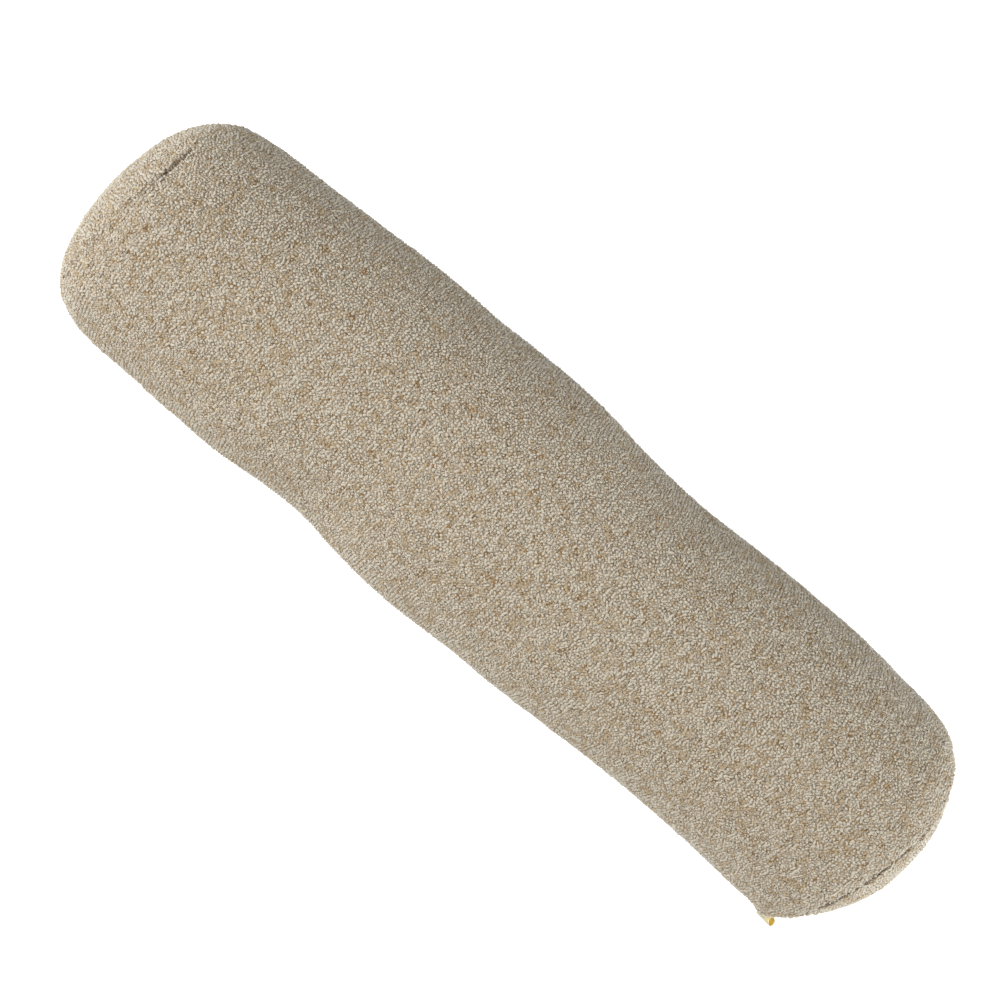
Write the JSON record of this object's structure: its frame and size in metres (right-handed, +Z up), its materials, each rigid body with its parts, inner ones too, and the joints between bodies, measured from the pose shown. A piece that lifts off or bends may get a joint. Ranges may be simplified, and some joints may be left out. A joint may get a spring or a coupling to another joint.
{
  "type": "bolster cushion",
  "caption": "Round filled bolster cushion in looped cloth, with a sewn-in round panel at each end and a small folded ribbon label in one end seam.",
  "frame": {"origin": "on the surface the bolster lies on, under the middle of its box", "axes": "+X along the bolster towards the end with the label, +Z up, -Y the side the label is on"},
  "size_m": [0.753, 0.2142, 0.1938],
  "materials": {
    "boucle": "nubbly looped yarn, ivory over tan",
    "ribbon": "plain woven ribbon, cream outside and mustard inside"
  },
  "bodies": {
    "root": {"bolster_cushion": "boucle", "label_loop": "ribbon"}
  },
  "joints": []
}
